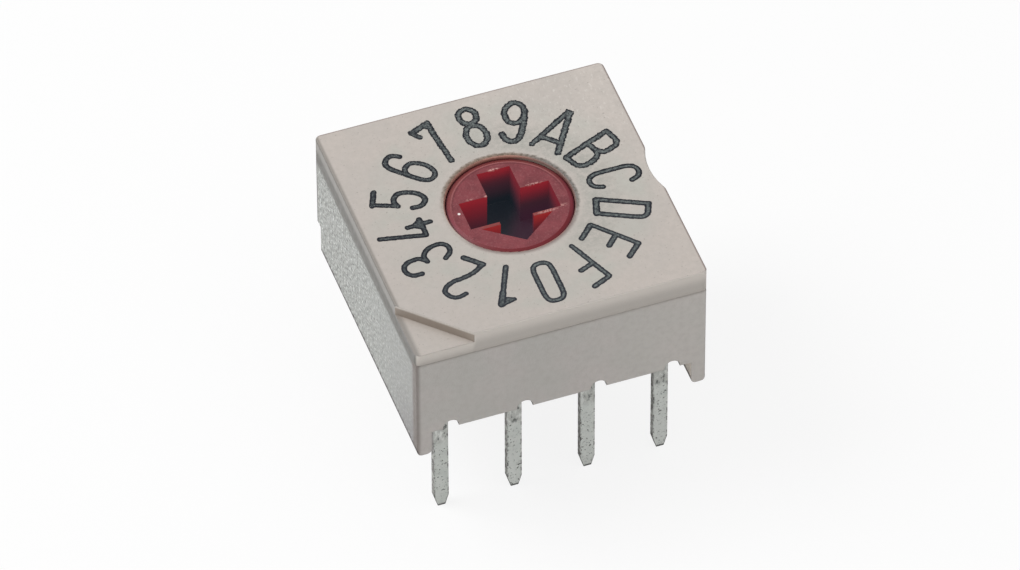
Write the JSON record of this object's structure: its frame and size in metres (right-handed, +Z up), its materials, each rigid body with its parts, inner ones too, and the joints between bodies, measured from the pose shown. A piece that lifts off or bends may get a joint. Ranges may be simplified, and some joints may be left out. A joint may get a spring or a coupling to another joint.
{
  "type": "rotary dip switch",
  "caption": "Square board-mounted rotary code switch with a red arrow dial in a ring of hexadecimal digits, and flat pins below.",
  "frame": {"origin": "middle of the body on the circuit board's face, in the plane of the side rails' undersides, midway between the two rows of pins", "axes": "+Z up, out of the dial; the front row of four pins lies along X at -Y; the dial's arrow points at -Y at rest"},
  "size_m": [0.01, 0.01, 0.0091],
  "materials": {
    "cover_plastic": "fine matte moulding",
    "housing_plastic": "fine matte moulding",
    "base_plastic": "matte",
    "resin": "smooth cured resin",
    "rotor_plastic": "satin moulding",
    "rubber": "matte",
    "gold_plate": "thin gold plating",
    "spring_steel": "rolled",
    "tinned_brass": "dull tin plating"
  },
  "bodies": {
    "body": {"cover": "cover_plastic", "housing": "housing_plastic", "base_plate": "base_plastic", "sealing_resin": "resin", "o_ring": "rubber", "detent_spring": "spring_steel", "terminal_1": "tinned_brass", "terminal_2": "tinned_brass", "terminal_4": "tinned_brass", "terminal_8": "tinned_brass", "terminal_common": "tinned_brass", "contact_1": "gold_plate", "contact_2": "gold_plate", "contact_4": "gold_plate", "contact_8": "gold_plate", "contact_common": "gold_plate"},
    "dial": {"rotor": "rotor_plastic", "code_plate": "gold_plate"}
  },
  "joints": [
    {"name": "rotor_turn", "type": "hinge", "parent": "body", "child": "dial", "pos_m": [0, 0, 0.0026], "axis": [0, 0, 1], "continuous": true, "deforming": ["detent_spring"]}
  ]
}
